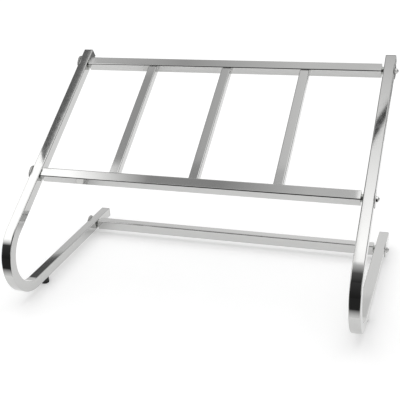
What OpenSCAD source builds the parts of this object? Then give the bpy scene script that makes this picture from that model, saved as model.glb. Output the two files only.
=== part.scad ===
// Tilted luggage rack: two bent square-tube side frames, a ladder deck and a rear
// floor rail, bolted together through six joints, on four rubber feet.
//
// +X runs along the rails, +Y to the back, +Z up. The origin is on the floor, under
// the centre of the rack. Millimetres.

/* [Frame tube] */
// Width of the square tube of the side frames and the rails
tube_w = 20; // [16:0.5:25]
// Wall of the frame tube
tube_wall = 1.5; // [1:0.1:2]
// Outer corner radius of the frame tube
tube_corner = 2.2; // [1.9:0.1:3]

/* [Side frames] */
// Width of the rack over the outer faces of the side frames
rack_w = 650; // [450:10:850]
// Slope of the deck above the floor, in degrees
incline = 32; // [25:1:40]
// Radius of the front bend, at the middle of the tube
bend_r = 70; // [50:1:90]
// Straight length of the sloping arm
arm_len = 450; // [370:5:560]
// Straight length of the floor arm
floor_len = 334; // [270:2:420]

/* [Rails] */
// Distance from the sloping arm's end to the middle of the top rail
top_rail_drop = 30; // [25:1:45]
// Distance between the middles of the two deck rails
deck_rail_pitch = 292; // [240:2:320]
// Distance from the floor arm's end to the middle of the rear rail
rear_rail_inset = 59; // [50:1:75]
// Clear gap between a rail's end and the side frame
rail_gap = 3.5; // [2:0.5:6]

/* [Slats] */
// Width of a slat, seen from the front of the deck
slat_w = 18; // [12:0.5:22]
// Depth of a slat, square to the deck
slat_t = 15; // [11:0.5:16]
// Wall of a slat's tube
slat_wall = 1.2; // [1:0.1:1.6]
// Outer corner radius of a slat's tube
slat_corner = 1.8; // [1.5:0.1:2.5]

/* [Joints] */
// Diameter of a joint's stud
stud_d = 6; // [5:0.5:8]
// Clearance around the stud in the side frame and the washer, on the diameter
stud_clearance = 0.6; // [0.3:0.1:1]
// Clearance around the stud's thread in the insert and the cap nut, on the diameter
thread_clearance = 0.1; // [0.06:0.02:0.2]
// Diameter of a domed washer
washer_d = 32; // [24:0.5:40]
// Thickness of a domed washer at its rim
washer_rim = 1; // [0.8:0.1:1.4]
// Thickness of a domed washer under the nut
washer_h = 2; // [1.6:0.1:3]
// Size of the cap nut across its flats
nut_flats = 10; // [9:0.5:13]
// Height of the cap nut's hexagon
nut_hex_h = 2.8; // [2.4:0.1:3.2]
// Height of the cap nut over all
nut_h = 5.4; // [5.2:0.1:5.6]
// Length of a rail insert's square body
insert_len = 22; // [15:1:35]
// Diameter of a rail insert's round shoulder
shoulder_d = 14; // [12:0.5:16]

/* [Plugs and feet] */
// Thickness of an end plug's flange
plug_flange = 1.6; // [1:0.1:2.5]
// Length of an end plug's body inside the tube
plug_len = 14; // [8:1:20]
// Clearance between a plug or insert and the tube's inner wall, each side
plug_clearance = 0.1; // [0.05:0.05:0.3]
// Diameter of a rubber foot
foot_d = 17; // [15:0.5:20]
// Height of a rubber foot
foot_h = 13; // [11:0.5:18]
// Distance from the bend's end back to the middle of a front foot
front_foot_y = 40; // [25:1:60]
// Distance from the floor arm's end to the middle of a rear foot
rear_foot_inset = 28; // [25:1:33]
// Diameter of a foot screw's shank
screw_d = 4; // [3:0.5:4.5]
// Diameter of a foot screw's head
screw_head_d = 7.5; // [7:0.5:9]
// Height of a foot screw's head
screw_head_h = 2.5; // [2:0.1:3]
// Length of a foot screw's shank
screw_len = 16; // [13:0.5:22]

/* [Hidden] */
$fn = 64;
LEFT = -1;
RIGHT = 1;

// Bending draws the tube's wall a little thinner than it is in the straight lengths
bend_thinning = 0.05;

// Finishes, as colours
chrome = [0.80, 0.81, 0.82];
bright_zinc = [0.72, 0.73, 0.74];
dark_plastic = [0.22, 0.22, 0.23];
black_rubber = [0.06, 0.06, 0.06];

// Frame tube
half_w = tube_w / 2;
bore_w = tube_w - 2 * tube_wall;
bore_corner = tube_corner - tube_wall;
plug_w = bore_w - 2 * plug_clearance;
plug_corner = bore_corner - plug_clearance;
frame_x = rack_w / 2 - half_w;

// The side frame's centre line, in the side plane, as [back, up] from the point where
// the floor arm meets the bend. The sloping arm starts where the bend ends.
along_arm = [cos(incline), sin(incline)];
off_arm = [-sin(incline), cos(incline)];
arm_start = [0, bend_r] + bend_r * off_arm;
function arm_point(s) = arm_start + s * along_arm;
top_rail_at = arm_point(arm_len - top_rail_drop);
lower_rail_at = arm_point(arm_len - top_rail_drop - deck_rail_pitch);
rear_rail_at = [floor_len - rear_rail_inset, 0];

// The side plane's place in the rack: the middle of its depth is at y = 0, and the
// feet stand on z = 0.
front_y = -bend_r - half_w;
arm_back_y = (arm_point(arm_len + plug_flange) - half_w * off_arm)[0];
back_y = max(floor_len + plug_flange, arm_back_y);
side_shift = [-(front_y + back_y) / 2, foot_h + half_w];

// Rails and slats
rail_len = rack_w - 2 * tube_w - 2 * rail_gap;
slat_len = deck_rail_pitch - tube_w;
slat_gap = (rack_w - 2 * tube_w - 3 * slat_w) / 4;
slat_pitch = slat_w + slat_gap;

// Joints, measured outwards from the side frame's inner face
stud_hole_d = stud_d + stud_clearance;
thread_hole_d = stud_d + thread_clearance;
insert_bite = 16;
nut_bite = 3.6;
dome_rise = washer_h - washer_rim + 0.5;
dome_r = (pow(washer_d / 2, 2) + pow(dome_rise, 2)) / (2 * dome_rise);
cap_r = 4.7;

// Feet
front_foot_at = front_foot_y;
rear_foot_at = floor_len - rear_foot_inset;
foot_edge = 1;
recess_d = screw_head_d + 1;
recess_h = 6;
screw_hole_d = screw_d + 0.4;
screw_tap_d = screw_d + 0.1;

// Puts what is drawn in the side plane, with its thickness along z, into the rack
module in_side_plane(x) {
    translate([x, side_shift[0], side_shift[1]]) rotate([90, 0, 90]) children();
}

// Places a joint's pieces at a point of the side plane, with +z outwards from the side
// frame's inner face
module at_joint(point, side) {
    translate([side * (frame_x - half_w), point[0] + side_shift[0], point[1] + side_shift[1]])
        rotate([0, side * 90, 0]) children();
}

// Places a foot's pieces under a floor arm, with the origin on the floor
module at_foot(side, back) {
    translate([side * frame_x, back + side_shift[0], 0]) children();
}

// Solid square with round corners, from two crossing squares and four corner discs
module round_square(w, h, r) {
    union() {
        square([w - 2 * r, h], center = true);
        square([w, h - 2 * r], center = true);
        for (x = [-1, 1], y = [-1, 1])
            translate([x * (w / 2 - r), y * (h / 2 - r)]) circle(r = r);
    }
}

// Section of the frame tube, with its wall thinned on both sides by the given amount
module tube_section(thinned = 0) {
    outside = tube_w - 2 * thinned;
    bore = bore_w + 2 * thinned;
    difference() {
        round_square(outside, outside, tube_corner - thinned);
        round_square(bore, bore, bore_corner + thinned);
    }
}

// Section of a slat's tube
module slat_section() {
    difference() {
        round_square(slat_w, slat_t, slat_corner);
        round_square(slat_w - 2 * slat_wall, slat_t - 2 * slat_wall, slat_corner - slat_wall);
    }
}

// Bent tube of a side frame, in the side plane: sloping arm, front bend, floor arm.
// The bend is swept a little too far and cut square in the floor arm's own frame, so
// that the two meet face to face.
module bent_tube() {
    turn = 180 - incline;
    translate([0, bend_r, 0]) rotate([0, 0, 90 + incline]) {
        translate([bend_r, 0, 0]) rotate([90, 0, 0]) linear_extrude(arm_len) tube_section();
        difference() {
            rotate_extrude(angle = turn + 3, $fn = 160)
                translate([bend_r, 0]) tube_section(bend_thinning);
            rotate([0, 0, turn]) translate([bend_r - tube_w, 0, -tube_w]) cube(2 * tube_w);
        }
        rotate([0, 0, turn]) translate([bend_r, 0, 0])
            rotate([-90, 0, 0]) linear_extrude(floor_len) tube_section();
    }
}

// Side frame, drilled for its three studs and for the screws of its two feet
module side_frame(side) {
    color(chrome) difference() {
        in_side_plane(side * frame_x) bent_tube();
        for (point = [top_rail_at, lower_rail_at, rear_rail_at])
            at_joint(point, side) translate([0, 0, -1]) cylinder(d = stud_hole_d, h = tube_w + 2);
        for (back = [front_foot_at, rear_foot_at])
            at_foot(side, back) translate([0, 0, foot_h - 1])
                cylinder(d = screw_tap_d, h = tube_wall + 2);
    }
}

// Rail between the side frames, at a point of the side plane
module rail(point, tilt) {
    color(chrome)
        translate([-rail_len / 2, point[0] + side_shift[0], point[1] + side_shift[1]])
            rotate([tilt, 0, 0]) rotate([90, 0, 90]) linear_extrude(rail_len) tube_section();
}

// Slat of the deck, from the lower rail up to the top rail
module slat(column) {
    foot = lower_rail_at + half_w * along_arm;
    color(chrome)
        translate([column * slat_pitch, foot[0] + side_shift[0], foot[1] + side_shift[1]])
            rotate([incline - 90, 0, 0]) linear_extrude(slat_len) slat_section();
}

// Plug in a tube's end: a flange with the tube's own outline, and a body inside it.
// The origin is on the tube's end, and +z points out of the tube.
module end_plug() {
    color(dark_plastic) {
        linear_extrude(plug_flange) round_square(tube_w, tube_w, tube_corner);
        translate([0, 0, -plug_len]) linear_extrude(plug_len) difference() {
            round_square(plug_w, plug_w, plug_corner);
            circle(d = plug_w - 4);
        }
    }
}

module arm_plug(side) {
    tip = arm_point(arm_len);
    in_side_plane(side * frame_x) translate([tip[0], tip[1], 0])
        rotate([0, 0, incline]) rotate([90, 0, 90]) end_plug();
}

module floor_plug(side) {
    in_side_plane(side * frame_x) translate([floor_len, 0, 0]) rotate([90, 0, 90]) end_plug();
}

// Threaded insert in a rail's end, whose shoulder bears on the side frame
module insert(point, side, tilt) {
    color(bright_zinc) at_joint(point, side) difference() {
        union() {
            translate([0, 0, -rail_gap - 1]) cylinder(d = shoulder_d, h = rail_gap + 1);
            translate([0, 0, -rail_gap - insert_len]) rotate([0, 0, side * tilt])
                linear_extrude(insert_len) round_square(plug_w, plug_w, plug_corner);
        }
        translate([0, 0, -rail_gap - insert_bite]) cylinder(d = thread_hole_d, h = rail_gap + insert_bite + 1);
    }
}

// Stud from the rail's insert through the side frame and the washer into the cap nut
module stud(point, side) {
    color(bright_zinc) at_joint(point, side) translate([0, 0, -rail_gap - insert_bite])
        cylinder(d = stud_d, h = rail_gap + insert_bite + tube_w + washer_h + nut_bite);
}

// Domed washer on the side frame's outer face
module domed_washer(point, side) {
    color(chrome) at_joint(point, side) translate([0, 0, tube_w]) difference() {
        intersection() {
            cylinder(d = washer_d, h = washer_h);
            translate([0, 0, washer_rim + dome_rise - dome_r]) sphere(r = dome_r, $fn = 128);
        }
        translate([0, 0, -1]) cylinder(d = stud_hole_d, h = washer_h + 2);
    }
}

// Cap nut on the washer: a hexagon under a round cap, with a blind hole
module cap_nut(point, side) {
    color(chrome) at_joint(point, side) translate([0, 0, tube_w + washer_h]) difference() {
        union() {
            cylinder(d = nut_flats / cos(30), h = nut_hex_h, $fn = 6);
            intersection() {
                translate([0, 0, nut_h - cap_r]) sphere(r = cap_r);
                translate([0, 0, nut_hex_h - 1]) cylinder(r = cap_r, h = nut_h);
            }
        }
        translate([0, 0, -1]) cylinder(d = thread_hole_d, h = nut_bite + 1);
    }
}

// Rubber foot under a floor arm, with a round lower edge and a recess for its screw
module foot(side, back) {
    color(black_rubber) at_foot(side, back) difference() {
        union() {
            translate([0, 0, foot_edge]) cylinder(d = foot_d, h = foot_h - foot_edge);
            cylinder(d1 = foot_d - 2 * foot_edge, d2 = foot_d, h = foot_edge);
        }
        translate([0, 0, -1]) cylinder(d = recess_d, h = recess_h + 1);
        cylinder(d = screw_hole_d, h = foot_h + 1);
    }
}

// Screw that holds a foot to the floor arm's lower wall
module foot_screw(side, back) {
    color(bright_zinc) at_foot(side, back) {
        translate([0, 0, recess_h - screw_head_h]) cylinder(d = screw_head_d, h = screw_head_h);
        translate([0, 0, recess_h]) cylinder(d = screw_d, h = screw_len);
    }
}

side_frame(LEFT);  // left_side_frame
side_frame(RIGHT);  // right_side_frame
rail(top_rail_at, incline);  // top_rail
rail(lower_rail_at, incline);  // lower_rail
rail(rear_rail_at, 0);  // rear_rail
slat(-1);  // slat_left
slat(0);  // slat_centre
slat(1);  // slat_right
arm_plug(LEFT);  // left_arm_plug
arm_plug(RIGHT);  // right_arm_plug
floor_plug(LEFT);  // left_floor_plug
floor_plug(RIGHT);  // right_floor_plug
insert(top_rail_at, LEFT, incline);  // top_left_insert
insert(top_rail_at, RIGHT, incline);  // top_right_insert
insert(lower_rail_at, LEFT, incline);  // lower_left_insert
insert(lower_rail_at, RIGHT, incline);  // lower_right_insert
insert(rear_rail_at, LEFT, 0);  // rear_left_insert
insert(rear_rail_at, RIGHT, 0);  // rear_right_insert
stud(top_rail_at, LEFT);  // top_left_stud
stud(top_rail_at, RIGHT);  // top_right_stud
stud(lower_rail_at, LEFT);  // lower_left_stud
stud(lower_rail_at, RIGHT);  // lower_right_stud
stud(rear_rail_at, LEFT);  // rear_left_stud
stud(rear_rail_at, RIGHT);  // rear_right_stud
domed_washer(top_rail_at, LEFT);  // top_left_washer
domed_washer(top_rail_at, RIGHT);  // top_right_washer
domed_washer(lower_rail_at, LEFT);  // lower_left_washer
domed_washer(lower_rail_at, RIGHT);  // lower_right_washer
domed_washer(rear_rail_at, LEFT);  // rear_left_washer
domed_washer(rear_rail_at, RIGHT);  // rear_right_washer
cap_nut(top_rail_at, LEFT);  // top_left_cap_nut
cap_nut(top_rail_at, RIGHT);  // top_right_cap_nut
cap_nut(lower_rail_at, LEFT);  // lower_left_cap_nut
cap_nut(lower_rail_at, RIGHT);  // lower_right_cap_nut
cap_nut(rear_rail_at, LEFT);  // rear_left_cap_nut
cap_nut(rear_rail_at, RIGHT);  // rear_right_cap_nut
foot(LEFT, front_foot_at);  // front_left_foot
foot(RIGHT, front_foot_at);  // front_right_foot
foot(LEFT, rear_foot_at);  // rear_left_foot
foot(RIGHT, rear_foot_at);  // rear_right_foot
foot_screw(LEFT, front_foot_at);  // front_left_foot_screw
foot_screw(RIGHT, front_foot_at);  // front_right_foot_screw
foot_screw(LEFT, rear_foot_at);  // rear_left_foot_screw
foot_screw(RIGHT, rear_foot_at);  // rear_right_foot_screw
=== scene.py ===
"""Looks of a tilted luggage rack.

Chromed square tube, bent into two side frames and welded into a ladder deck, with
domed washers, cap nuts, plastic end plugs and rubber feet. Lengths in the dataclasses
are millimetres; meshes are built in metres, in the frame's own axes (+X along the
rails, +Y to the back, +Z up, origin on the floor).
"""

import logging
import math
from dataclasses import dataclass, field
from enum import Enum
from typing import Any, Iterable, Sequence

import bmesh
import bpy
from mathutils import Matrix, Vector


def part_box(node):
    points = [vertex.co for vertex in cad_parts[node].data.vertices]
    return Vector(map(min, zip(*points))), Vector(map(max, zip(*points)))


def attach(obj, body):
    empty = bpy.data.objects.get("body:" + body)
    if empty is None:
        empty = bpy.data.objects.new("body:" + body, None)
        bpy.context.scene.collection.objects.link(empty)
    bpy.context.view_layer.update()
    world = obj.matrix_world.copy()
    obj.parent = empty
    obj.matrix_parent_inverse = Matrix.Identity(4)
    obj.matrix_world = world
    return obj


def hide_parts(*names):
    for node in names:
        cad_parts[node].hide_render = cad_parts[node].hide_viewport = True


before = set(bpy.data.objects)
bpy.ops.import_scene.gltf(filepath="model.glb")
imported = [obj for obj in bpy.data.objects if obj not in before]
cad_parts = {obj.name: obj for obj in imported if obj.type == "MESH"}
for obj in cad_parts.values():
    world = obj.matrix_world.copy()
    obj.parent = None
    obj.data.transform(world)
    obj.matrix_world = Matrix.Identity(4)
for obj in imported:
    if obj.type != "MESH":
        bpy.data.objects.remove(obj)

logging.basicConfig(level=logging.INFO, format="%(message)s")
LOG = logging.getLogger("rack")

MM = 0.001
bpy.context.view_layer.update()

Ring = list[Vector]


# ---------------------------------------------------------------- small helpers


def srgb(code: str) -> tuple[float, float, float, float]:
    """Turns a colour's sRGB hex code into linear light.

    Args:
        code: Six hex digits, with or without a leading #.

    Returns:
        Linear red, green and blue, and an alpha of 1.
    """
    digits = code.lstrip("#")
    channels = [int(digits[at:at + 2], 16) / 255 for at in (0, 2, 4)]
    linear = [c / 12.92 if c <= 0.04045 else ((c + 0.055) / 1.055) ** 2.4 for c in channels]
    return (linear[0], linear[1], linear[2], 1.0)


def add_node(
    tree: bpy.types.NodeTree,
    kind: str,
    settings: dict[str, Any] | None = None,
    inputs: dict[str | int, Any] | None = None,
) -> bpy.types.Node:
    """Adds a node to a tree, with its settings and what goes into its sockets.

    Args:
        tree: The shader or geometry tree.
        kind: The node's type, as Blender names it.
        settings: Properties of the node and their values.
        inputs: Input sockets by name or number, each with an output to link or a value.

    Returns:
        The new node.
    """
    node = tree.nodes.new(kind)
    for name, value in (settings or {}).items():
        setattr(node, name, value)
    for key, value in (inputs or {}).items():
        if isinstance(value, bpy.types.NodeSocket):
            tree.links.new(value, node.inputs[key])
        else:
            node.inputs[key].default_value = value
    return node


# ---------------------------------------------------------------- finishes


@dataclass(frozen=True)
class ChromePlate:
    """Decorative chromium plate over polished steel tube.

    To the eye it is a neutral mirror, a little blue beside white, which shows the
    light ceiling and the dark parts of a room as crisp bands. Cheap tube isn't quite
    flat under the plate, so the bands wander slightly along it.

    Attributes:
        name: The material's name.
        colour: Reflectance, as an sRGB hex code.
        roughness: Micro-roughness of the buffed surface.
        wave_mm: Distance between the tube's slow waves.
        wave_strength: How far the waves bend the reflections.
        haze_mm: Distance between patches of slightly duller buffing.
    """

    name: str
    colour: str = "#C6C6C5"
    roughness: float = 0.05
    wave_mm: float = 55.0
    wave_strength: float = 0.03
    haze_mm: float = 9.0

    def make(self) -> bpy.types.Material:
        """Builds the material."""
        material = bpy.data.materials.new(self.name)
        material.use_nodes = True
        tree = material.node_tree
        surface = tree.nodes["Principled BSDF"]
        surface.inputs["Base Color"].default_value = srgb(self.colour)
        surface.inputs["Metallic"].default_value = 1.0
        place = add_node(tree, "ShaderNodeTexCoord").outputs["Object"]
        waves = add_node(tree, "ShaderNodeTexNoise", inputs={
            "Vector": place, "Scale": 1 / (self.wave_mm * MM), "Detail": 1.0, "Roughness": 0.4})
        bump = add_node(tree, "ShaderNodeBump", inputs={
            "Height": waves.outputs["Fac"], "Strength": self.wave_strength, "Distance": 1 * MM})
        tree.links.new(bump.outputs["Normal"], surface.inputs["Normal"])
        haze = add_node(tree, "ShaderNodeTexNoise", inputs={
            "Vector": place, "Scale": 1 / (self.haze_mm * MM), "Detail": 4.0, "Roughness": 0.6})
        rough = add_node(tree, "ShaderNodeMapRange", inputs={
            "Value": haze.outputs["Fac"], "From Min": 0.3, "From Max": 0.7,
            "To Min": self.roughness * 0.8, "To Max": self.roughness * 1.25})
        tree.links.new(rough.outputs["Result"], surface.inputs["Roughness"])
        return material


@dataclass(frozen=True)
class ZincPlate:
    """Bright zinc plate on turned or cold-headed steel.

    It is duller and warmer than chrome, with fine grain and a faint mottle left by the
    passivation bath.

    Attributes:
        name: The material's name.
        colour: Reflectance of the fresh plate, as an sRGB hex code.
        mottle: Reflectance of the duller patches, as an sRGB hex code.
        roughness: Micro-roughness of the plate.
        grain_mm: Distance between the plate's grains, drawn coarser than life to show.
    """

    name: str
    colour: str = "#C9CBC9"
    mottle: str = "#B2B4AE"
    roughness: float = 0.32
    grain_mm: float = 0.8

    def make(self) -> bpy.types.Material:
        """Builds the material."""
        material = bpy.data.materials.new(self.name)
        material.use_nodes = True
        tree = material.node_tree
        surface = tree.nodes["Principled BSDF"]
        surface.inputs["Metallic"].default_value = 1.0
        surface.inputs["Roughness"].default_value = self.roughness
        place = add_node(tree, "ShaderNodeTexCoord").outputs["Object"]
        patches = add_node(tree, "ShaderNodeTexNoise", inputs={
            "Vector": place, "Scale": 1 / (4 * self.grain_mm * MM), "Detail": 3.0})
        colour = add_node(tree, "ShaderNodeMix", settings={"data_type": "RGBA"}, inputs={
            "Factor": patches.outputs["Fac"], 6: srgb(self.colour), 7: srgb(self.mottle)})
        tree.links.new(colour.outputs[2], surface.inputs["Base Color"])
        grain = add_node(tree, "ShaderNodeTexNoise", inputs={
            "Vector": place, "Scale": 1 / (self.grain_mm * MM), "Detail": 2.0})
        bump = add_node(tree, "ShaderNodeBump", inputs={
            "Height": grain.outputs["Fac"], "Strength": 0.12, "Distance": 0.1 * MM})
        tree.links.new(bump.outputs["Normal"], surface.inputs["Normal"])
        return material


@dataclass(frozen=True)
class MouldedSkin:
    """A dark moulded polymer: hard polyethylene plugs or soft rubber feet.

    Spark-eroded moulds leave a fine grain, which breaks the highlight into a soft
    sheen. Rubber is rougher and darker than polyethylene and holds some dust.

    Attributes:
        name: The material's name.
        colour: Body colour, as an sRGB hex code.
        dust: Colour of the dust or bloom in the grain, as an sRGB hex code.
        roughness: Roughness of the skin.
        grain_mm: Distance between the mould's grains.
        grain_depth: Strength of the grain.
    """

    name: str
    colour: str
    dust: str
    roughness: float
    grain_mm: float
    grain_depth: float

    def make(self) -> bpy.types.Material:
        """Builds the material."""
        material = bpy.data.materials.new(self.name)
        material.use_nodes = True
        tree = material.node_tree
        surface = tree.nodes["Principled BSDF"]
        surface.inputs["IOR"].default_value = 1.52
        place = add_node(tree, "ShaderNodeTexCoord").outputs["Object"]
        bloom = add_node(tree, "ShaderNodeTexNoise", inputs={
            "Vector": place, "Scale": 1 / (12 * self.grain_mm * MM), "Detail": 5.0})
        patches = add_node(tree, "ShaderNodeMapRange", inputs={
            "Value": bloom.outputs["Fac"], "From Min": 0.5, "From Max": 0.8, "To Max": 0.35})
        colour = add_node(tree, "ShaderNodeMix", settings={"data_type": "RGBA"}, inputs={
            "Factor": patches.outputs["Result"], 6: srgb(self.colour), 7: srgb(self.dust)})
        tree.links.new(colour.outputs[2], surface.inputs["Base Color"])
        surface.inputs["Roughness"].default_value = self.roughness
        grain = add_node(tree, "ShaderNodeTexVoronoi", inputs={
            "Vector": place, "Scale": 1 / (self.grain_mm * MM)})
        bump = add_node(tree, "ShaderNodeBump", inputs={
            "Height": grain.outputs["Distance"], "Strength": self.grain_depth,
            "Distance": 0.1 * MM})
        tree.links.new(bump.outputs["Normal"], surface.inputs["Normal"])
        return material


class Finish(Enum):
    """The rack's finishes, each with the name of its slot."""

    FRAME = "frame_chrome"
    SLAT = "slat_chrome"
    WASHER = "washer_chrome"
    NUT = "nut_chrome"
    INSERT = "insert_zinc"
    FASTENER = "fastener_zinc"
    PLUG = "plug_plastic"
    FOOT = "foot_rubber"

    def material(self) -> bpy.types.Material:
        """The finish's material, made once."""
        found = bpy.data.materials.get(RECIPES[self].name)
        return found or RECIPES[self].make()


RECIPES: dict[Finish, ChromePlate | ZincPlate | MouldedSkin] = {
    Finish.FRAME: ChromePlate("chrome_plated_frame_tube"),
    Finish.SLAT: ChromePlate("chrome_plated_slat_tube", colour="#CCCCCB", roughness=0.07),
    Finish.WASHER: ChromePlate("chrome_plated_pressed_washer", roughness=0.07, wave_mm=14.0),
    Finish.NUT: ChromePlate("chrome_plated_cap_nut", roughness=0.06, wave_mm=20.0,
                            wave_strength=0.02),
    Finish.INSERT: ZincPlate("zinc_plated_turned_insert"),
    Finish.FASTENER: ZincPlate("zinc_plated_fastener", roughness=0.26, grain_mm=0.5),
    Finish.PLUG: MouldedSkin("moulded_polyethylene_plug", "#26272A", "#55575A", 0.42, 0.35, 0.25),
    Finish.FOOT: MouldedSkin("moulded_black_rubber_foot", "#141415", "#3C3B39", 0.68, 0.5, 0.5),
}


# ---------------------------------------------------------------- meshes


def circle_ring(radius: float, height: float, steps: int) -> Ring:
    """A level circle of points round the z axis."""
    turn = 2 * math.pi / steps
    return [Vector((radius * math.cos(k * turn), radius * math.sin(k * turn), height))
            for k in range(steps)]


def square_ring(width: float, corner: float, height: float, steps: int = 6) -> Ring:
    """A level square of points with round corners.

    Args:
        width: Width over the flats.
        corner: Radius of the corners.
        height: The ring's z.
        steps: Segments in each corner.

    Returns:
        The points, anticlockwise seen from above.
    """
    ring = []
    reach = width / 2 - corner
    for quarter in range(4):
        middle = Vector((reach, reach, 0))
        middle.rotate(Matrix.Rotation(quarter * math.pi / 2, 3, "Z"))
        for k in range(steps + 1):
            at = (quarter + k / steps) * math.pi / 2
            ring.append(middle + Vector((corner * math.cos(at), corner * math.sin(at), height)))
    return ring


def hex_ring(flats: float, limit: float, height: float, steps: int) -> Ring:
    """A level hexagon of points, with its corners cut back to a circle.

    Args:
        flats: Width across the flats.
        limit: Radius that no point passes.
        height: The ring's z.
        steps: Number of points, a multiple of 6.

    Returns:
        The points, anticlockwise seen from above.
    """
    ring = []
    for k in range(steps):
        angle = 2 * math.pi * k / steps
        off = (angle + math.pi / 6) % (math.pi / 3) - math.pi / 6
        radius = min(flats / 2 / math.cos(off), limit)
        ring.append(Vector((radius * math.cos(angle), radius * math.sin(angle), height)))
    return ring


def loft(name: str, shells: Iterable[Sequence[Ring]], crease: float = 40.0) -> bpy.types.Mesh:
    """Skins stacks of rings, and closes each stack's two ends.

    Args:
        name: The mesh's name.
        shells: Stacks of rings with equal counts of points, in millimetres.
        crease: Angle in degrees above which an edge stays sharp.

    Returns:
        The mesh, in metres, smooth apart from its creases.
    """
    built = bmesh.new()
    for rings in shells:
        loops = [[built.verts.new(point * MM) for point in ring] for ring in rings]
        for low, high in zip(loops, loops[1:]):
            for k in range(len(low)):
                after = (k + 1) % len(low)
                built.faces.new((low[k], low[after], high[after], high[k]))
        built.faces.new(reversed(loops[0]))
        built.faces.new(loops[-1])
    bmesh.ops.recalc_face_normals(built, faces=built.faces)
    mesh = bpy.data.meshes.new(name)
    built.to_mesh(mesh)
    built.free()
    mesh.shade_smooth()
    mesh.set_sharp_from_angle(angle=math.radians(crease))
    return mesh


def lathe(name: str, profile: Sequence[tuple[float, float]], steps: int,
          crease: float = 40.0) -> bpy.types.Mesh:
    """Turns a closed profile round the z axis.

    Args:
        name: The mesh's name.
        profile: Corners of the profile as (radius, height) in millimetres.
        steps: Segments round the axis.
        crease: Angle in degrees above which an edge stays sharp.

    Returns:
        The mesh, in metres.
    """
    built = bmesh.new()
    loops = [[built.verts.new(point * MM) for point in circle_ring(radius, height, steps)]
             for radius, height in profile]
    for low, high in zip(loops, loops[1:] + loops[:1]):
        for k in range(steps):
            after = (k + 1) % steps
            built.faces.new((low[k], low[after], high[after], high[k]))
    bmesh.ops.remove_doubles(built, verts=built.verts, dist=1e-7)
    bmesh.ops.dissolve_degenerate(built, edges=built.edges, dist=1e-8)
    bmesh.ops.recalc_face_normals(built, faces=built.faces)
    mesh = bpy.data.meshes.new(name)
    built.to_mesh(mesh)
    built.free()
    mesh.shade_smooth()
    mesh.set_sharp_from_angle(angle=math.radians(crease))
    return mesh


def rounding(middle: tuple[float, float], radius: float, start: float, end: float,
             steps: int = 5) -> list[tuple[float, float]]:
    """Points on an arc of a profile.

    Args:
        middle: The arc's middle.
        radius: The arc's radius.
        start: Angle of the first point, in degrees.
        end: Angle of the last point, in degrees.
        steps: Segments of the arc.

    Returns:
        The points, ends included.
    """
    angles = [math.radians(start + (end - start) * k / steps) for k in range(steps + 1)]
    return [(middle[0] + radius * math.cos(a), middle[1] + radius * math.sin(a)) for a in angles]


# ---------------------------------------------------------------- geometry node trees


def new_tree(name: str, inputs: dict[str, str]) -> tuple[bpy.types.NodeTree, bpy.types.Node]:
    """Starts a geometry node tree.

    Args:
        name: The tree's name.
        inputs: Names of the tree's inputs after Geometry, with their socket types.

    Returns:
        The tree and its group input node.
    """
    tree = bpy.data.node_groups.new(name, "GeometryNodeTree")
    tree.interface.new_socket("Geometry", in_out="INPUT", socket_type="NodeSocketGeometry")
    for label, kind in inputs.items():
        tree.interface.new_socket(label, in_out="INPUT", socket_type="NodeSocket" + kind)
    tree.interface.new_socket("Geometry", in_out="OUTPUT", socket_type="NodeSocketGeometry")
    return tree, add_node(tree, "NodeGroupInput")


def close_tree(tree: bpy.types.NodeTree, shape: bpy.types.NodeSocket,
               material: bpy.types.NodeSocket) -> None:
    """Ends a tree in Realize Instances and Set Material.

    Args:
        tree: The tree.
        shape: The geometry to hand on.
        material: The input that names its material.
    """
    real = add_node(tree, "GeometryNodeRealizeInstances", inputs={"Geometry": shape})
    dressed = add_node(tree, "GeometryNodeSetMaterial", inputs={
        "Geometry": real.outputs[0], "Material": material})
    add_node(tree, "NodeGroupOutput", inputs={0: dressed.outputs[0]})


def tube_tree() -> bpy.types.NodeTree:
    """Tree that sweeps a tube of round-cornered rectangular section along a route.

    The route is a chain of straight edges. Its corners are bent to the bend radius, and
    the section is turned about the route by the roll.
    """
    tree, start = new_tree("swept_tube", {
        "Width": "Float", "Depth": "Float", "Corner Radius": "Float", "Bend Radius": "Float",
        "Bend Steps": "Int", "Corner Steps": "Int", "Roll": "Float", "Material": "Material"})
    given = start.outputs
    route = add_node(tree, "GeometryNodeMeshToCurve", inputs={"Mesh": given["Geometry"]})
    bent = add_node(tree, "GeometryNodeFilletCurve", {"mode": "POLY"}, {
        "Curve": route.outputs[0], "Radius": given["Bend Radius"],
        "Count": given["Bend Steps"], "Limit Radius": True})
    rolled = add_node(tree, "GeometryNodeSetCurveTilt", inputs={
        "Curve": bent.outputs[0], "Tilt": given["Roll"]})
    outline = add_node(tree, "GeometryNodeCurvePrimitiveQuadrilateral", inputs={
        "Width": given["Width"], "Height": given["Depth"]})
    section = add_node(tree, "GeometryNodeFilletCurve", {"mode": "POLY"}, {
        "Curve": outline.outputs[0], "Radius": given["Corner Radius"],
        "Count": given["Corner Steps"], "Limit Radius": True})
    skin = add_node(tree, "GeometryNodeCurveToMesh", inputs={
        "Curve": rolled.outputs[0], "Profile Curve": section.outputs[0]})
    close_tree(tree, skin.outputs[0], given["Material"])
    return tree


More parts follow.
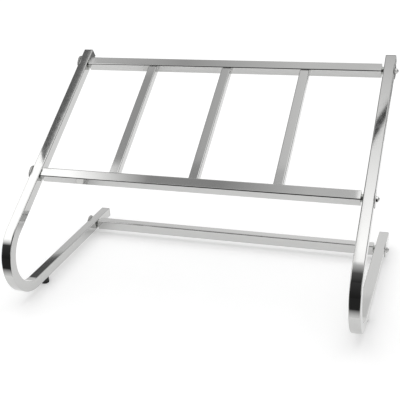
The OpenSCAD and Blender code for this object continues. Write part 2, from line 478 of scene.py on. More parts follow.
def placing_tree() -> bpy.types.NodeTree:
    """Tree that sets a copy of a part on every point, turned as the point says.

    Each point carries its turn as Euler angles. Every copy is also spun about its own
    axis by a random share of the spin, from a fixed seed, as nuts and screws end up.
    """
    tree, start = new_tree("placed_parts", {
        "Part": "Object", "Spin": "Float", "Seed": "Int", "Material": "Material"})
    given = start.outputs
    part = add_node(tree, "GeometryNodeObjectInfo", inputs={"Object": given["Part"]})
    turn = add_node(tree, "GeometryNodeInputNamedAttribute", {"data_type": "FLOAT_VECTOR"},
                    {"Name": "turn"})
    facing = add_node(tree, "FunctionNodeEulerToRotation", inputs={0: turn.outputs[0]})
    copies = add_node(tree, "GeometryNodeInstanceOnPoints", inputs={
        "Points": given["Geometry"], "Instance": part.outputs["Geometry"],
        "Rotation": facing.outputs[0]})
    share = add_node(tree, "FunctionNodeRandomValue", {"data_type": "FLOAT"}, {
        3: given["Spin"], "Seed": given["Seed"]})
    about = add_node(tree, "ShaderNodeCombineXYZ", inputs={"Z": share.outputs[1]})
    spin = add_node(tree, "FunctionNodeEulerToRotation", inputs={0: about.outputs[0]})
    spun = add_node(tree, "GeometryNodeRotateInstances", inputs={
        "Instances": copies.outputs[0], "Rotation": spin.outputs[0], "Local Space": True})
    close_tree(tree, spun.outputs[0], given["Material"])
    return tree


def grow(name: str, base: bpy.types.Mesh, tree: bpy.types.NodeTree,
         inputs: dict[str, Any], wall: float = 0.0) -> bpy.types.Object:
    """Runs a tree on a base mesh and keeps the result as a plain piece.

    Args:
        name: The piece's name.
        base: The mesh that goes into the tree.
        tree: The geometry node tree.
        inputs: The tree's inputs by name.
        wall: Thickness given inwards to an open skin, in metres. 0 leaves it as it is.

    Returns:
        The piece, a plain mesh without modifiers, linked to the scene.
    """
    holder = bpy.data.objects.new(name + "_base", base)
    bpy.context.scene.collection.objects.link(holder)
    maker = holder.modifiers.new("maker", "NODES")
    maker.node_group = tree
    labels = {item.name: item.identifier for item in tree.interface.items_tree
              if item.item_type == "SOCKET" and item.in_out == "INPUT"}
    for label, value in inputs.items():
        maker[labels[label]] = value
    grown = bpy.data.meshes.new_from_object(
        holder.evaluated_get(bpy.context.evaluated_depsgraph_get()))
    holder.modifiers.remove(maker)
    bpy.data.objects.remove(holder)
    piece = bpy.data.objects.new(name, grown)
    bpy.context.scene.collection.objects.link(piece)
    if wall:
        orient(grown)
        thicken = piece.modifiers.new("wall", "SOLIDIFY")
        thicken.thickness = wall
        thicken.offset = -1.0
        weigh = piece.modifiers.new("flat_faces", "WEIGHTED_NORMAL")
        weigh.weight = 100
        solid = bpy.data.meshes.new_from_object(
            piece.evaluated_get(bpy.context.evaluated_depsgraph_get()))
        piece.modifiers.clear()
        piece.data = solid
    piece.data.name = name
    return piece


def orient(mesh: bpy.types.Mesh) -> None:
    """Merges a tube's doubles, and turns its faces away from the tube's inside."""
    built = bmesh.new()
    built.from_mesh(mesh)
    bmesh.ops.remove_doubles(built, verts=built.verts, dist=1e-6)
    ends = [edge for edge in built.edges if edge.is_boundary]
    caps = bmesh.ops.holes_fill(built, edges=ends, sides=0)["faces"]
    bmesh.ops.recalc_face_normals(built, faces=built.faces)
    bmesh.ops.delete(built, geom=caps, context="FACES_ONLY")
    for face in built.faces:
        face.smooth = True
    built.to_mesh(mesh)
    built.free()


def chain(name: str, points: Sequence[Vector], closed: bool = False) -> bpy.types.Mesh:
    """A chain of edges through points, in metres."""
    count = len(points)
    edges = [(k, (k + 1) % count) for k in range(count if closed else count - 1)]
    mesh = bpy.data.meshes.new(name)
    mesh.from_pydata([tuple(point) for point in points], edges, [])
    return mesh


# ---------------------------------------------------------------- the rack's layout


class Side(Enum):
    """The rack's two sides, by the sign of their x."""

    LEFT = -1
    RIGHT = 1


@dataclass(frozen=True)
class Layout:
    """Where the rack's main lines run.

    Attributes:
        tube: Width of the frame tube.
        incline: Slope of the deck, in degrees.
        bend_radius: Radius of the front bend, at the middle of the tube.
        arm_length: Straight length of the sloping arm.
        floor_length: Straight length of the floor arm.
        top_drop: From the sloping arm's end to the middle of the top rail.
        deck_pitch: Between the middles of the two deck rails.
        rear_inset: From the floor arm's end to the middle of the rear rail.
        rail_gap: Clear gap between a rail's end and the side frame.
        foot_height: Height of the feet under the floor arms.
    """

    tube: float = 20.0
    incline: float = 32.0
    bend_radius: float = 70.0
    arm_length: float = 450.0
    floor_length: float = 334.0
    top_drop: float = 30.0
    deck_pitch: float = 292.0
    rear_inset: float = 59.0
    rail_gap: float = 3.5
    foot_height: float = 13.0

    @property
    def slope(self) -> float:
        """The deck's slope, in radians."""
        return math.radians(self.incline)

    @property
    def frame_x(self) -> float:
        """Distance from the rack's middle to a side frame's middle, from the frame."""
        low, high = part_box("right_side_frame")
        return (low[0] + high[0]) / 2 / MM

    @property
    def bend_end(self) -> Vector:
        """Where the floor arm meets the bend, in millimetres, with x = 0."""
        low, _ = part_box("right_side_frame")
        front = low[1] / MM
        return Vector((0, front + self.tube / 2 + self.bend_radius, self.foot_height + self.tube / 2))

    def arm_point(self, along: float) -> Vector:
        """A point of the sloping arm's middle line, in millimetres, with x = 0.

        Args:
            along: Distance from the bend's upper end.

        Returns:
            The point.
        """
        lean = self.slope
        start = self.bend_end + Vector((0, -math.sin(lean), 1 + math.cos(lean))) * self.bend_radius
        return start + Vector((0, math.cos(lean), math.sin(lean))) * along

    @property
    def top_rail(self) -> Vector:
        """The top rail's middle."""
        return self.arm_point(self.arm_length - self.top_drop)

    @property
    def lower_rail(self) -> Vector:
        """The lower rail's middle."""
        return self.arm_point(self.arm_length - self.top_drop - self.deck_pitch)

    @property
    def rear_rail(self) -> Vector:
        """The rear rail's middle."""
        return self.bend_end + Vector((0, self.floor_length - self.rear_inset, 0))


LAYOUT = Layout()


def metres(point: Vector, x: float) -> Vector:
    """A point of the side plane in metres, moved to x millimetres."""
    return Vector((x, point.y, point.z)) * MM


def take(piece: bpy.types.Object, finish: Finish, *nodes: str) -> bpy.types.Object:
    """Gives a finished piece its place in the frame.

    Args:
        piece: The piece.
        finish: Its finish, whose slot name goes into the log.
        nodes: The CAD nodes that it stands for.

    Returns:
        The piece.
    """
    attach(piece, "root")
    if nodes:
        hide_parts(*nodes)
    LOG.info("%s: %d faces, %s, for %s", piece.name, len(piece.data.polygons), finish.value,
             ", ".join(nodes) or "no node")
    return piece


# ---------------------------------------------------------------- sub-assemblies


@dataclass
class SideFrames:
    """The two bent tubes, each a sloping arm, a front bend and a floor arm.

    Attributes:
        wall: Wall of the tube.
        corner: Outer corner radius of the tube.
        bend_steps: Segments of the front bend.
        corner_steps: Segments of each corner of the section.
        tree: The tree that sweeps tubes.
    """

    tree: bpy.types.NodeTree
    wall: float = 1.5
    corner: float = 2.2
    bend_steps: int = 110
    corner_steps: int = 8

    def build(self, side: Side) -> bpy.types.Object:
        """Builds and dresses one side frame.

        Args:
            side: Which side.

        Returns:
            The side frame.
        """
        name = f"{side.name.lower()}_side_frame"
        x = side.value * LAYOUT.frame_x
        reach = LAYOUT.bend_radius / math.tan(LAYOUT.slope / 2)
        meeting = LAYOUT.bend_end - Vector((0, reach, 0))
        route = chain(name, [
            metres(LAYOUT.arm_point(LAYOUT.arm_length), x),
            metres(meeting, x),
            metres(LAYOUT.bend_end + Vector((0, LAYOUT.floor_length, 0)), x)])
        piece = grow(name + "_tube", route, self.tree, {
            "Width": LAYOUT.tube * MM, "Depth": LAYOUT.tube * MM,
            "Corner Radius": self.corner * MM, "Bend Radius": LAYOUT.bend_radius * MM,
            "Bend Steps": self.bend_steps, "Corner Steps": self.corner_steps, "Roll": 0.0,
            "Material": Finish.FRAME.material()}, wall=self.wall * MM)
        return take(piece, Finish.FRAME, name)


@dataclass
class Deck:
    """The rails across the rack, and the slats and weld beads of its deck.

    Attributes:
        wall: Wall of the rails.
        corner: Outer corner radius of the rails.
        slat_width: Width of a slat.
        slat_depth: Depth of a slat, square to the deck.
        slat_wall: Wall of a slat's tube.
        slat_corner: Outer corner radius of a slat.
        slat_pitch: Distance between the middles of neighbouring slats.
        tree: The tree that sweeps tubes.
    """

    tree: bpy.types.NodeTree
    wall: float = 1.5
    corner: float = 2.2
    slat_width: float = 18.0
    slat_depth: float = 15.0
    slat_wall: float = 1.2
    slat_corner: float = 1.8
    slat_pitch: float = 157.0

    def build_rail(self, name: str, middle: Vector, roll: float) -> bpy.types.Object:
        """Builds and dresses a rail.

        Args:
            name: The rail's node.
            middle: Its middle, in millimetres.
            roll: Its turn about its own length, in radians.

        Returns:
            The rail.
        """
        half = LAYOUT.frame_x - LAYOUT.tube / 2 - LAYOUT.rail_gap
        route = chain(name, [metres(middle, -half), metres(middle, half)])
        piece = grow(name + "_tube", route, self.tree, {
            "Width": LAYOUT.tube * MM, "Depth": LAYOUT.tube * MM,
            "Corner Radius": self.corner * MM, "Bend Radius": 0.0, "Bend Steps": 1,
            "Corner Steps": 8, "Roll": roll,
            "Material": Finish.FRAME.material()}, wall=self.wall * MM)
        return take(piece, Finish.FRAME, name)

    def slat_end(self, column: int, upper: bool) -> Vector:
        """The middle of a slat's end, in millimetres.

        Args:
            column: -1, 0 or 1, from left to right.
            upper: True for the end on the top rail.

        Returns:
            The point.
        """
        along = LAYOUT.arm_length - LAYOUT.top_drop
        along -= LAYOUT.tube / 2 if upper else LAYOUT.deck_pitch - LAYOUT.tube / 2
        point = LAYOUT.arm_point(along)
        return Vector((column * self.slat_pitch, point.y, point.z))

    def build_slat(self, name: str, column: int) -> bpy.types.Object:
        """Builds and dresses a slat.

        Args:
            name: The slat's node.
            column: -1, 0 or 1, from left to right.

        Returns:
            The slat.
        """
        route = chain(name, [self.slat_end(column, False) * MM, self.slat_end(column, True) * MM])
        piece = grow(name + "_tube", route, self.tree, {
            "Width": self.slat_width * MM, "Depth": self.slat_depth * MM,
            "Corner Radius": self.slat_corner * MM, "Bend Radius": 0.0, "Bend Steps": 1,
            "Corner Steps": 7, "Roll": 0.0,
            "Material": Finish.SLAT.material()}, wall=self.slat_wall * MM)
        return take(piece, Finish.SLAT, name)


@dataclass(frozen=True)
class WeldBead:
    """The thin bead that runs round a slat's end, ground smooth and plated over.

    Attributes:
        width: Width of the slat.
        depth: Depth of the slat.
        corner: Corner radius of the slat.
        radius: Radius of the bead.
        ripple: How much the bead's radius varies along it.
    """

    width: float = 18.0
    depth: float = 15.0
    corner: float = 1.8
    radius: float = 0.75
    ripple: float = 0.12

    def mesh(self) -> bpy.types.Mesh:
        """The bead round the z axis, with its middle line at z = 0."""
        steps, around = 6, 8
        line: list[tuple[Vector, Vector]] = []
        for quarter in range(4):
            turn = Matrix.Rotation(quarter * math.pi / 2, 3, "Z")
            across, up = (self.width, self.depth) if quarter % 2 == 0 else (self.depth, self.width)
            middle = Vector((across / 2 - self.corner, up / 2 - self.corner, 0))
            for k in range(steps + 1):
                angle = k / steps * math.pi / 2
                out = Vector((math.cos(angle), math.sin(angle), 0))
                line.append((turn @ (middle + out * self.corner), turn @ out))
            for k in range(1, 8):
                at = middle + Vector((-2 * middle.x * k / 8, self.corner, 0))
                line.append((turn @ at, turn @ Vector((0, 1, 0))))
        built = bmesh.new()
        loops = []
        for number, (at, out) in enumerate(line):
            radius = self.radius + self.ripple * math.sin(number * 1.9)
            loops.append([built.verts.new((at + radius * (
                math.cos(a) * out + math.sin(a) * Vector((0, 0, 1)))) * MM)
                for a in (2 * math.pi * k / around for k in range(around))])
        for low, high in zip(loops, loops[1:] + loops[:1]):
            for k in range(around):
                after = (k + 1) % around
                built.faces.new((low[k], low[after], high[after], high[k]))
        bmesh.ops.recalc_face_normals(built, faces=built.faces)
        mesh = bpy.data.meshes.new("weld_bead")
        built.to_mesh(mesh)
        built.free()
        mesh.shade_smooth()
        return mesh


@dataclass
class PlacedParts:
    """One kind of small part, set in several places of the rack.

    Attributes:
        tree: The tree that sets parts on points.
        name: The kind's name.
        finish: Its finish.
        part: The part's mesh, with its own origin and +z.
        spin: Largest random turn about the part's own axis, in radians.
        seed: Seed of the turns.
        places: Node, place in metres and turn as Euler angles, for each part.
    """

    tree: bpy.types.NodeTree
    name: str
    finish: Finish
    part: bpy.types.Mesh
    spin: float = 0.0
    seed: int = 0
    places: list[tuple[str, Vector, tuple[float, float, float]]] = field(default_factory=list)

    def add(self, node: str, place: Vector, turn: tuple[float, float, float]) -> None:
        """Adds a place for the part."""
        self.places.append((node, place, turn))

    def build(self) -> bpy.types.Object:
        """Builds and dresses all the parts of this kind as one piece."""
        points = bpy.data.meshes.new(self.name)
        points.from_pydata([tuple(place) for _, place, _ in self.places], [], [])
        turns = points.attributes.new("turn", "FLOAT_VECTOR", "POINT")
        turns.data.foreach_set("vector", [angle for _, _, turn in self.places for angle in turn])
        master = bpy.data.objects.new(self.name + "_master", self.part)
        bpy.context.scene.collection.objects.link(master)
        piece = grow(self.name, points, self.tree, {
            "Part": master, "Spin": self.spin, "Seed": self.seed,
            "Material": self.finish.material()})
        bpy.data.objects.remove(master)
        return take(piece, self.finish, *[node for node, _, _ in self.places if node])


@dataclass(frozen=True)
class JointHardware:
    """Domed washer and cap nut of a joint.

    Attributes:
        washer: Diameter of the washer.
        rim: Thickness of the washer at its rim.
        crown: Thickness of the washer under the nut.
        bore: Hole of the washer.
        flats: Width of the nut across its flats.
        hex_height: Height of the nut's hexagon.
        nut_height: Height of the nut over all.
        cap_radius: Radius of the nut's cap.
    """

    washer: float = 32.0
    rim: float = 1.0
    crown: float = 2.0
    bore: float = 6.6
    flats: float = 10.0
    hex_height: float = 2.8
    nut_height: float = 5.4
    cap_radius: float = 4.7

    def washer_mesh(self) -> bpy.types.Mesh:
        """The domed washer, seated on z = 0."""
        outer, rise = self.washer / 2, self.crown - self.rim + 0.5
        sphere = (outer ** 2 + rise ** 2) / (2 * rise)
        ease = 0.3
        dome = []
        for k in range(13):
            radius = (outer - 0.9 * ease) + (self.flats / 2 + 1.0 - outer + 0.9 * ease) * k / 12
            height = self.rim + rise - sphere + math.sqrt(sphere ** 2 - radius ** 2)
            dome.append((radius, min(height, self.crown)))
        profile = [(self.bore / 2, 0.0), (outer - ease, 0.0)]
        profile += rounding((outer - ease, ease), ease, -90, 0, 4)
        profile += rounding((outer - ease, self.rim - ease), ease, 0, 75, 4)
        profile += dome[1:]
        profile += [(self.bore / 2, self.crown)]
        return lathe("domed_washer", profile, 96)

    def nut_mesh(self) -> bpy.types.Mesh:
        """The cap nut, seated on z = 0."""
        steps, corner = 96, self.flats / 2 / math.cos(math.pi / 6)
        rings = [hex_ring(self.flats, limit, height, steps) for limit, height in (
            (corner - 0.55, 0.0), (corner, 0.32), (corner, self.hex_height - 0.6),
            (corner - 0.3, self.hex_height - 0.35), (corner - 0.62, self.hex_height - 0.1))]
        rings.append(circle_ring(self.flats / 2 - 0.08, self.hex_height, steps))
        middle = self.nut_height - self.cap_radius
        start = math.degrees(math.asin((self.hex_height + 0.15 - middle) / self.cap_radius))
        for radius, height in rounding((0, middle), self.cap_radius, start, 88.5, 14):
            rings.append(circle_ring(radius, height, steps))
        return loft("cap_nut", [rings], crease=28.0)


@dataclass(frozen=True)
class TubePlug:
    """Plastic plug in a tube's end, with a rounded flange and a hollow ribbed body.

    Attributes:
        width: Width of the flange.
        corner: Corner radius of the flange.
        flange: Thickness of the flange.
        body: Width of the body inside the tube.
        length: Length of the body.
    """

    width: float = 20.0
    corner: float = 2.2
    flange: float = 1.6
    body: float = 16.8
    length: float = 14.0

    def mesh(self) -> bpy.types.Mesh:
        """The plug, with the tube's end at z = 0 and the flange above it."""
        edge = 0.8
        flange = [square_ring(self.width - 0.1, self.corner, 0.0),
                  square_ring(self.width, self.corner, 0.12)]
        for drop, height in rounding((0, self.flange - edge), edge, 0, 84, 5):
            inset = edge - drop
            flange.append(square_ring(self.width - 2 * inset, self.corner - inset, height))
        flange.append(square_ring(self.width - 5.0, 1.5, self.flange))
        body = [square_ring(self.body - 2.4, 0.8, -self.length),
                square_ring(self.body - 0.8, 0.5, -self.length + 2.0)]
        for rib in (-10.0, -7.0, -4.0):
            body += [square_ring(self.body - 0.8, 0.5, rib - 0.5),
                     square_ring(self.body - 0.05, 0.6, rib),
                     square_ring(self.body - 0.8, 0.5, rib + 0.9)]
        body.append(square_ring(self.body - 0.8, 0.5, 0.0))
        return loft("tube_plug", [flange, body])


@dataclass(frozen=True)
class Foot:
    """Rubber foot with a recess for its screw.

    Attributes:
        diameter: Diameter under the tube.
        taper: How much narrower the foot is on the floor.
        height: Height of the foot.
        recess: Diameter of the recess.
        recess_height: Depth of the recess.
        bore: Hole for the screw.
        head: Diameter of the screw's head.
        head_height: Height of the screw's head.
        shank: Diameter of the screw's shank.
        shank_length: Length of the screw's shank.
        pitch: Distance between the screw's threads.
    """

    diameter: float = 17.0
    taper: float = 0.8
    height: float = 13.0
    recess: float = 8.5
    recess_height: float = 6.0
    bore: float = 4.4
    head: float = 7.5
    head_height: float = 2.5
    shank: float = 4.0
    shank_length: float = 16.0
    pitch: float = 1.4

    def foot_mesh(self) -> bpy.types.Mesh:
        """The foot, standing on z = 0."""
        outer, low, edge = self.diameter / 2, (self.diameter - self.taper) / 2, 1.4
        profile = [(self.recess / 2 + 0.3, 0.0)]
        profile += rounding((low - edge, edge), edge, -90, 0, 6)
        profile += [(outer - 0.25, self.height - 1.6), (outer, self.height - 1.2),
                    (outer, self.height), (self.bore / 2, self.height),
                    (self.bore / 2, self.recess_height), (self.recess / 2, self.recess_height),
                    (self.recess / 2, 0.3)]
        return lathe("rubber_foot", profile, 64)

    def screw_mesh(self) -> bpy.types.Mesh:
        """The foot's screw, with its head's underside at the recess's end."""
        seat = self.recess_height
        profile = [(0.0, seat - self.head_height)]
        profile += [(self.head / 2 - 1.1, seat - self.head_height)]
        profile += rounding((self.head / 2 - 1.1, seat - self.head_height + 1.1), 1.1, -90, 0, 6)
        profile += [(self.head / 2, seat), (self.shank / 2 - 0.35, seat)]
        height = seat + 0.6
        end = seat + self.shank_length - 2.0
        while height + self.pitch < end:
            profile += [(self.shank / 2 - 0.35, height), (self.shank / 2, height + 0.35 * self.pitch),
                        (self.shank / 2 - 0.35, height + 0.7 * self.pitch)]
            height += self.pitch
        profile += [(self.shank / 2 - 0.35, end), (0.0, seat + self.shank_length)]
        return lathe("foot_screw", profile, 40, crease=30.0)


# ---------------------------------------------------------------- studio


@dataclass(frozen=True)
class Card:
    """A flat panel that only the rack's reflections show.

    Attributes:
        name: The card's name.
        corners: Its four corners, in metres. The shade runs from the first two to the
            last two.
        shade: Brightness along the first two corners, where 1 is white.
        far_shade: Brightness along the last two, where it differs.
    """

    name: str
    corners: tuple[tuple[float, float, float], ...]
    shade: float
    far_shade: float | None = None

    def build(self) -> bpy.types.Object:
        """Builds the card as part of the stage."""
        mesh = bpy.data.meshes.new(self.name)
        mesh.from_pydata(list(self.corners), [], [(0, 1, 2, 3)])
        flow = mesh.uv_layers.new(name="flow")
        for loop, at in zip(flow.data, ((0, 0), (1, 0), (1, 1), (0, 1))):
            loop.uv = at
        material = bpy.data.materials.new(self.name)
        material.use_nodes = True
        tree = material.node_tree
        tree.nodes.clear()
        across = add_node(tree, "ShaderNodeUVMap", {"uv_map": "flow"})
        split = add_node(tree, "ShaderNodeSeparateXYZ", inputs={0: across.outputs[0]})
        far = self.shade if self.far_shade is None else self.far_shade
        level = add_node(tree, "ShaderNodeMapRange", inputs={
            "Value": split.outputs["Y"], "To Min": self.shade, "To Max": far})
        shade = add_node(tree, "ShaderNodeEmission", inputs={
            "Color": (1, 1, 1, 1), "Strength": level.outputs["Result"]})
        add_node(tree, "ShaderNodeOutputMaterial", inputs={"Surface": shade.outputs[0]})
        mesh.materials.append(material)
        card = bpy.data.objects.new(self.name, mesh)
        bpy.context.scene.collection.objects.link(card)
        card.visible_camera = False
        card.visible_diffuse = False
        card.visible_shadow = False
        return card


def level_card(name: str, height: float, corners: Sequence[tuple[float, float]], shade: float,
               far_shade: float | None = None) -> Card:
    """A card that lies level.

    Args:
        name: The card's name.
        height: Its height, in metres.
        corners: Its four corners as (x, y), in metres.
        shade: Brightness along the first two corners.
        far_shade: Brightness along the last two.

    Returns:
        The card.
    """
    return Card(name, tuple((x, y, height) for x, y in corners), shade, far_shade)


def upright_card(name: str, corners: Sequence[tuple[float, float]], bottom: float, top: float,
                 shade: float, far_shade: float | None = None) -> Card:
    """A card that stands upright on a line between two points.

    Args:
        name: The card's name.
        corners: The line's two ends as (x, y), in metres.
        bottom: Height of its lower edge.
        top: Height of its upper edge.
        shade: Brightness along the lower edge.
        far_shade: Brightness along the upper edge.

    Returns:
        The card.
    """
    (x0, y0), (x1, y1) = corners
    return Card(name, ((x0, y0, bottom), (x1, y1, bottom), (x1, y1, top), (x0, y0, top)),
                shade, far_shade)


@dataclass
class Studio:
    """White floor, soft light, grey cards for the chrome to show, and the camera.

    Attributes:
        floor_shade: Colour of the floor, as an sRGB hex code.
        floor_glow: What the floor adds of its own to a view, so that it reads white.
        sky: Strength of the light that comes from all round.
        key: Strength of the main lamp.
        eye: The camera's place, in metres.
        yaw: The camera's turn from +Y towards -X, in radians.
        pitch: How far the camera looks down, in radians.
        roll: The camera's roll, in radians.
        lens: Focal length for a sensor 36 mm wide.
    """

    floor_shade: str = "#F2F2F2"
    floor_glow: float = 0.22
    sky: float = 0.80
    key: float = 0.55
    eye: tuple[float, float, float] = (0.4648, -1.3062, 0.7625)
    yaw: float = 0.3487
    pitch: float = 0.4070
    roll: float = -0.06289
    lens: float = 71.546

    def build(self) -> None:
        """Builds the whole studio."""
        self.build_floor()
        self.build_light()
        self.build_cards()
        self.build_camera()
        view = bpy.context.scene.view_settings
        view.view_transform = "Standard"

    def build_floor(self) -> None:
        """A wide pale floor, which keeps the rack's shadow."""
        mesh = bpy.data.meshes.new("floor")
        reach = 12.0
        mesh.from_pydata([(-reach, -reach, 0), (reach, -reach, 0), (reach, reach, 0),
                          (-reach, reach, 0)], [], [(0, 1, 2, 3)])
        material = bpy.data.materials.new("studio_floor")
        material.use_nodes = True
        tree = material.node_tree
        tree.nodes.clear()
        diffuse = add_node(tree, "ShaderNodeBsdfDiffuse", inputs={"Color": srgb(self.floor_shade)})
        rays = add_node(tree, "ShaderNodeLightPath")
        seen = add_node(tree, "ShaderNodeMath", {"operation": "MAXIMUM"}, {
            0: rays.outputs["Is Camera Ray"], 1: rays.outputs["Is Glossy Ray"]})
        seen = add_node(tree, "ShaderNodeMath", {"operation": "MAXIMUM"}, {
            0: seen.outputs[0], 1: rays.outputs["Is Transmission Ray"]})
        lift = add_node(tree, "ShaderNodeMath", {"operation": "MULTIPLY"}, {
            0: seen.outputs[0], 1: self.floor_glow})
        glow = add_node(tree, "ShaderNodeEmission", inputs={
            "Color": (1, 1, 1, 1), "Strength": lift.outputs[0]})
        both = add_node(tree, "ShaderNodeAddShader", inputs={
            0: diffuse.outputs[0], 1: glow.outputs[0]})
        add_node(tree, "ShaderNodeOutputMaterial", inputs={"Surface": both.outputs[0]})
        mesh.materials.append(material)
        floor = bpy.data.objects.new("floor", mesh)
        bpy.context.scene.collection.objects.link(floor)

    def build_light(self) -> None:
        """Even light from all round, and one broad soft lamp behind and to the left."""
        world = bpy.data.worlds.new("studio")
        bpy.context.scene.world = world
        world.use_nodes = True
        tree = world.node_tree
        tree.nodes.clear()
        rays = add_node(tree, "ShaderNodeLightPath")
        seen = add_node(tree, "ShaderNodeMath", {"operation": "MAXIMUM"}, {
            0: rays.outputs["Is Camera Ray"], 1: rays.outputs["Is Glossy Ray"]})
        seen = add_node(tree, "ShaderNodeMath", {"operation": "MAXIMUM"}, {
            0: seen.outputs[0], 1: rays.outputs["Is Transmission Ray"]})
        level = add_node(tree, "ShaderNodeMapRange", inputs={
            "Value": seen.outputs[0], "To Min": self.sky, "To Max": 1.0})
        back = add_node(tree, "ShaderNodeBackground", inputs={
            "Color": (1, 1, 1, 1), "Strength": level.outputs[0]})
        add_node(tree, "ShaderNodeOutputWorld", inputs={"Surface": back.outputs[0]})
        lamp = bpy.data.lights.new("key", "SUN")
        lamp.energy = self.key
        lamp.angle = math.radians(75)
        key = bpy.data.objects.new("key", lamp)
        key.rotation_euler = Vector((0.15, -0.1, -1.0)).to_track_quat("-Z", "Y").to_euler()
        key.visible_glossy = False
        bpy.context.scene.collection.objects.link(key)

    def build_cards(self) -> None:
        """Grey and dark cards where the chrome shows darker parts of the room."""
        ceiling, left, right, back = 3.0, -1.62, 5.0, 5.0
        cards = (
            level_card("ceiling_right", ceiling, ((-0.35, back), (-0.35, 0.15), (right, 0.15),
                                                  (right, back)), 0.84),
            level_card("ceiling_middle", ceiling, ((-1.05, back), (-1.05, 0.15), (-0.35, 0.15),
                                                   (-0.35, back)), 0.50, 0.84),
            level_card("ceiling_left", ceiling, ((left, back), (left, 0.68), (-1.05, 0.68),
                                                 (-1.05, back)), 0.74, 0.50),
            level_card("ceiling_left_near", ceiling, ((left, 0.68), (left, 0.15), (-1.05, 0.15),
                                                      (-1.05, 0.68)), 0.42, 0.47),
            level_card("ceiling_near_right", ceiling, ((-0.30, 0.15), (-0.30, -0.05),
                                                       (right, -0.05), (right, 0.15)), 0.74),
            level_card("ceiling_near_middle", ceiling, ((-0.80, 0.15), (-0.80, -0.05),
                                                        (-0.30, -0.05), (-0.30, 0.15)), 0.36, 0.74),
            level_card("ceiling_near_left", ceiling, ((left, 0.15), (left, -0.05),
                                                      (-0.80, -0.05), (-0.80, 0.15)), 0.42, 0.36),
            level_card("ceiling_back_left", ceiling, ((-6, back), (-6, 1.0), (left, 1.0),
                                                      (left, back)), 0.22),
            level_card("ceiling_light", ceiling, ((left, -0.05), (right, -0.05), (right, -0.45),
                                                  (left, -0.45)), 1.2, 1.1),
            level_card("ceiling_fall", ceiling, ((left, -0.45), (right, -0.45), (right, -2.0),
                                                 (left, -2.0)), 0.9, 0.12),
            level_card("ceiling_front", ceiling, ((-5, -2.0), (right, -2.0), (right, -4.2),
                                                  (-5, -4.2)), 0.12, 0.03),
            level_card("side_light_far", 2.99, ((-0.04, 0.90), (2.0, 0.90), (2.0, 0.40),
                                                (-0.04, 0.40)), 0.68, 1.15),
            level_card("side_light_near", 2.99, ((-0.04, 0.40), (2.0, 0.40), (2.0, -0.20),
                                                 (-0.04, -0.20)), 1.15, 1.75),
            level_card("side_light_end", 2.99, ((-0.04, -0.20), (2.0, -0.20), (2.0, -0.80),
                                                (-0.04, -0.80)), 1.75, 0.75),
            level_card("softbox", 2.99, ((-4, 0.4), (-4, -2.4), (-1.70, -2.4), (-1.70, 0.4)), 1.8),
            level_card("softbox_front", 2.99, ((-5, -2.4), (-1.70, -2.4), (-1.70, -4.2),
                                               (-5, -4.2)), 1.8, 0.10),
            level_card("softbox_edge", 2.985, ((-1.70, 0.12), (-1.70, -1.2), (-1.22, -1.2),
                                               (-1.22, 0.12)), 1.8, 0.45),
            level_card("dark_corner", 2.98, ((-3.0, 0.90), (-1.57, 0.90), (-1.85, 0.10),
                                             (-2.0, 0.34)), 0.20, 0.17),
            level_card("dark_strip", 2.97, ((-0.06, 0.37), (-0.05, 0.27), (0.12, 0.53),
                                            (0.11, 0.59)), 0.05),
            upright_card("front_wall", ((-6, -4.2), (right, -4.2)), 0.0, ceiling, 0.02, 0.06),
            level_card("front_floor", 0.002, ((-6, -0.355), (right, -0.355), (right, -4.2),
                                              (-6, -4.2)), 0.03),
            # Painted shade: a level card, seen only in the chrome, standing in for the floor's
            # contact shadow in front of the bend; dark on its front edge, pale on its back edge.
            level_card("front_floor_edge", 0.003, ((-6, -0.37), (right, -0.37), (right, -0.27),
                                                   (-6, -0.27)), 0.05, 0.95),
            level_card("back_floor", 0.003, ((0.415, 0.85), (1.6, 0.85), (1.6, 3.5),
                                             (0.50, 3.5)), 0.22),
            upright_card("back_left_top", ((-6, 4.0), (-1.9, 4.0)), 2.35, 3.0, 0.12),
            upright_card("back_left_far", ((-6, 4.0), (-3.4, 4.0)), 0.0, 2.35, 0.70),
            Card("back_left", ((-3.4, 4.0, 0.0), (-3.4, 4.0, 2.35), (-0.8, 4.0, 2.35),
                               (-0.8, 4.0, 0.0)), 0.70, 1.0),
            upright_card("right_wall", ((right, -2.0), (right, 5.0)), 0.3, 3.0, 0.03, 0.15),
        )
        for card in cards:
            card.build()

    def build_camera(self) -> None:
        """The camera, level with the front of the rack and above it, to the right."""
        ahead = Vector((-math.sin(self.yaw) * math.cos(self.pitch),
                        math.cos(self.yaw) * math.cos(self.pitch), -math.sin(self.pitch)))
        right = Vector((math.cos(self.yaw), math.sin(self.yaw), 0))
        up = right.cross(ahead)
        across = math.cos(self.roll) * right + math.sin(self.roll) * up
        upward = -math.sin(self.roll) * right + math.cos(self.roll) * up
        lens = bpy.data.cameras.new("camera")
        lens.lens = self.lens
        lens.sensor_width = 36.0
        lens.clip_start = 0.01
        camera = bpy.data.objects.new("camera", lens)
        turn = Matrix((across, upward, -ahead)).transposed().to_4x4()
        camera.matrix_world = Matrix.Translation(self.eye) @ turn
        bpy.context.scene.collection.objects.link(camera)
        bpy.context.scene.camera = camera


# ---------------------------------------------------------------- assembly


def dress_hidden_metal() -> None:
    """Gives the inserts and studs, which stay as they are, their zinc finish."""
    for name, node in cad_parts.items():
        finish = {"insert": Finish.INSERT, "stud": Finish.FASTENER}.get(name.split("_")[-1])
        if finish:
            node.data.materials.clear()
            node.data.materials.append(finish.material())
            LOG.info("%s: %s", name, finish.value)


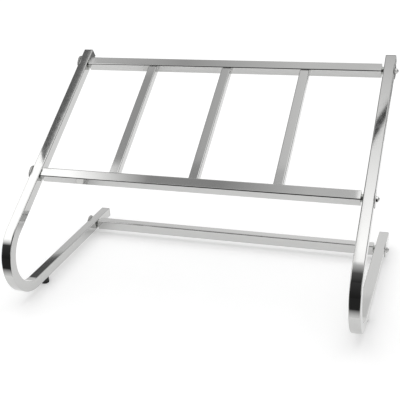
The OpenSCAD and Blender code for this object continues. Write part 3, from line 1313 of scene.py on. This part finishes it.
def main() -> None:
    """Builds the rack's sub-assemblies in order, then the studio."""
    tubes, parts = tube_tree(), placing_tree()
    frames = SideFrames(tubes)
    for side in Side:
        frames.build(side)
    deck = Deck(tubes)
    deck.build_rail("top_rail", LAYOUT.top_rail, LAYOUT.slope)
    deck.build_rail("lower_rail", LAYOUT.lower_rail, LAYOUT.slope)
    deck.build_rail("rear_rail", LAYOUT.rear_rail, 0.0)
    for column, name in enumerate(("slat_left", "slat_centre", "slat_right"), start=-1):
        deck.build_slat(name, column)

    hardware, plug, foot = JointHardware(), TubePlug(), Foot()
    washers = PlacedParts(parts, "domed_washers", Finish.WASHER, hardware.washer_mesh())
    nuts = PlacedParts(parts, "cap_nuts", Finish.NUT, hardware.nut_mesh(),
                       spin=math.radians(60), seed=5)
    plugs = PlacedParts(parts, "end_plugs", Finish.PLUG, plug.mesh())
    feet = PlacedParts(parts, "rubber_feet", Finish.FOOT, foot.foot_mesh())
    screws = PlacedParts(parts, "foot_screws", Finish.FASTENER, foot.screw_mesh(),
                         spin=math.radians(90), seed=3)
    rails = {"top": LAYOUT.top_rail, "lower": LAYOUT.lower_rail, "rear": LAYOUT.rear_rail}
    for side in Side:
        label, sign = side.name.lower(), side.value
        outer = LAYOUT.frame_x + LAYOUT.tube / 2
        facing = (0.0, sign * math.pi / 2, 0.0)
        for rail, middle in rails.items():
            washers.add(f"{rail}_{label}_washer", metres(middle, sign * outer), facing)
            nuts.add(f"{rail}_{label}_cap_nut",
                     metres(middle, sign * (outer + hardware.crown)), facing)
        x = sign * LAYOUT.frame_x
        plugs.add(f"{label}_arm_plug", metres(LAYOUT.arm_point(LAYOUT.arm_length), x),
                  (LAYOUT.slope - math.pi / 2, 0.0, 0.0))
        plugs.add(f"{label}_floor_plug",
                  metres(LAYOUT.bend_end + Vector((0, LAYOUT.floor_length, 0)), x),
                  (-math.pi / 2, 0.0, 0.0))
        for spot in ("front", "rear"):
            low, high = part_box(f"{spot}_{label}_foot")
            stand = Vector(((low[0] + high[0]) / 2, (low[1] + high[1]) / 2, 0.0))
            feet.add(f"{spot}_{label}_foot", stand, (0.0, 0.0, 0.0))
            screws.add(f"{spot}_{label}_foot_screw", stand, (0.0, 0.0, 0.0))
    bead = WeldBead()
    welds = PlacedParts(parts, "weld_beads", Finish.SLAT, bead.mesh())
    for column in (-1, 0, 1):
        for upper in (False, True):
            seat = deck.slat_end(column, upper) * MM
            welds.add("", seat, (LAYOUT.slope - math.pi / 2, 0.0, 0.0))
    for kind in (washers, nuts, plugs, feet, screws, welds):
        kind.build()
    dress_hidden_metal()
    Studio().build()


if __name__ == "__main__":
    main()
